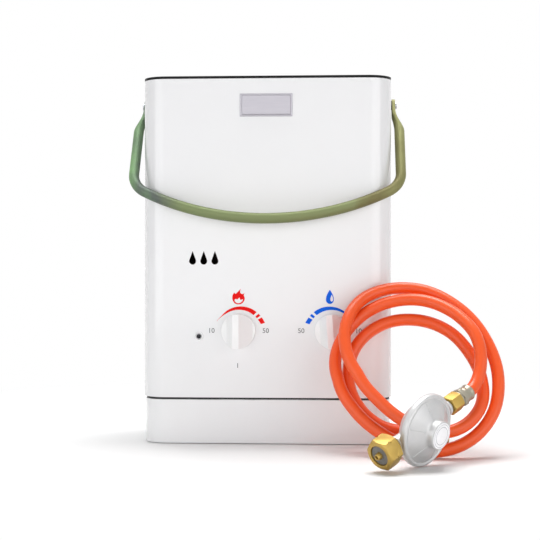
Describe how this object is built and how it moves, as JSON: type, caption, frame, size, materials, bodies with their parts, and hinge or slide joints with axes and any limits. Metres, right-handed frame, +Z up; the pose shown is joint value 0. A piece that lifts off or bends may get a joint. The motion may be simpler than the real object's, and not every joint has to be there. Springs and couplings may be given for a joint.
{
  "type": "portable gas water heater",
  "caption": "Portable gas water heater in a white case with a swing handle, two control knobs, and its orange gas hose and regulator standing in front.",
  "frame": {"origin": "middle of the base on the floor, under the case with its handle and knobs", "axes": "+Z up, the painted front with the knobs faces -Y, +X to the viewer's right"},
  "size_m": [0.4267, 0.3309, 0.426],
  "materials": {
    "enamel_white": "glossy white enamel",
    "black_paint": "satin black",
    "zinc_sheet": "galvanized sheet",
    "badge_silver": "satin anodized",
    "yellow_zinc": "yellow and green passivated zinc",
    "steel": "bright zinc plated",
    "dark_steel": "dark zinc plated",
    "rubber_black": "matte",
    "plastic_black": "matte",
    "plastic_white": "smooth white",
    "brass": "machined",
    "copper": "copper, satin",
    "cast_alloy": "satin die casting",
    "label_white": "bare paper label on plastic",
    "ceramic": "glazed white",
    "cell_wrap": "printed steel jacket",
    "hose_orange": "smooth satin"
  },
  "bodies": {
    "case": {"front_cover": "enamel_white", "back_plate": "enamel_white", "bottom_plate": "zinc_sheet", "base_cover": "enamel_white", "seam_gasket": "rubber_black", "top_grille": "black_paint", "badge_plate": "badge_silver", "handle_bushes": "plastic_black", "handle_screws": "steel", "handle_nuts": "steel", "cover_screw": "dark_steel", "screw_cup": "enamel_white", "combustion_chamber": "copper", "exchanger_fins": "copper", "exchanger_tube": "copper", "exhaust_hood": "zinc_sheet", "burner_bars": "steel", "burner_tray": "zinc_sheet", "gas_manifold": "cast_alloy", "gas_jets": "brass", "gas_valve": "cast_alloy", "solenoid": "plastic_black", "water_valve": "brass", "diaphragm_cap": "brass", "water_diaphragm": "rubber_black", "microswitch": "plastic_black", "valve_shelf": "zinc_sheet", "ignition_module": "plastic_black", "spark_electrode": "ceramic", "flame_sensor": "ceramic", "battery_box": "plastic_black", "battery_cells": "cell_wrap", "water_inlet": "brass", "water_outlet": "brass", "gas_inlet": "brass", "cold_pipe": "copper", "hot_pipe": "copper", "gas_pipe": "steel", "overheat_cutout": "plastic_black", "case_screws": "steel", "gas_hose": "hose_orange", "hose_ferrules": "steel", "regulator_body": "cast_alloy", "regulator_cover": "cast_alloy", "regulator_cap": "label_white", "regulator_diaphragm": "rubber_black", "inlet_stem": "brass", "inlet_seal": "rubber_black"},
    "handle": {"carry_handle": "yellow_zinc"},
    "gas_control": {"gas_knob": "plastic_white", "gas_spindle": "brass"},
    "water_control": {"water_knob": "plastic_white", "water_spindle": "brass"},
    "lid": {"battery_lid": "plastic_black"},
    "drain": {"drain_plug": "plastic_black"},
    "water_rod": {"push_rod": "steel", "gas_poppet": "rubber_black"},
    "bottle_nut": {"coupling_nut": "brass"},
    "regulator_nut": {"outlet_nut": "brass"},
    "heater_nut": {"end_nut": "brass"}
  },
  "joints": [
    {"name": "handle_swing", "type": "hinge", "parent": "case", "child": "handle", "pos_m": [0, 0.02083, 0.399], "axis": [-1, 0, 0], "range_deg": [0, 297]},
    {"name": "gas_knob_turn", "type": "hinge", "parent": "case", "child": "gas_control", "pos_m": [-0.032, -0.04967, 0.131], "axis": [0, -1, 0], "range_deg": [-90, 90]},
    {"name": "water_knob_turn", "type": "hinge", "parent": "case", "child": "water_control", "pos_m": [0.076, -0.04967, 0.131], "axis": [0, -1, 0], "range_deg": [-90, 90]},
    {"name": "battery_lid_swing", "type": "hinge", "parent": "case", "child": "lid", "pos_m": [-0.099, 0.05843, 0.017], "axis": [-1, 0, 0], "range_deg": [0, 95]},
    {"name": "drain_plug_turn", "type": "hinge", "parent": "case", "child": "drain", "pos_m": [0.076, 0.00883, 0.026], "axis": [0, -1, 0], "continuous": true},
    {"name": "water_rod_slide", "type": "slide", "parent": "case", "child": "water_rod", "axis": [-1, 0, 0], "range_m": [0, 0.003], "stiffness_N_per_m": 200},
    {"name": "bottle_nut_spin", "type": "hinge", "parent": "case", "child": "bottle_nut", "pos_m": [0.12957, -0.2365, 0.02099], "axis": [0.6593, 0.6593, 0.3616], "continuous": true},
    {"name": "regulator_nut_spin", "type": "hinge", "parent": "case", "child": "regulator_nut", "pos_m": [0.20341, -0.16266, 0.06149], "axis": [0.6593, 0.6593, 0.3616], "continuous": true},
    {"name": "heater_nut_spin", "type": "hinge", "parent": "case", "child": "heater_nut", "pos_m": [0.19252, -0.11434, 0.01559], "axis": [0.9758, -0.0628, -0.2094], "continuous": true}
  ]
}
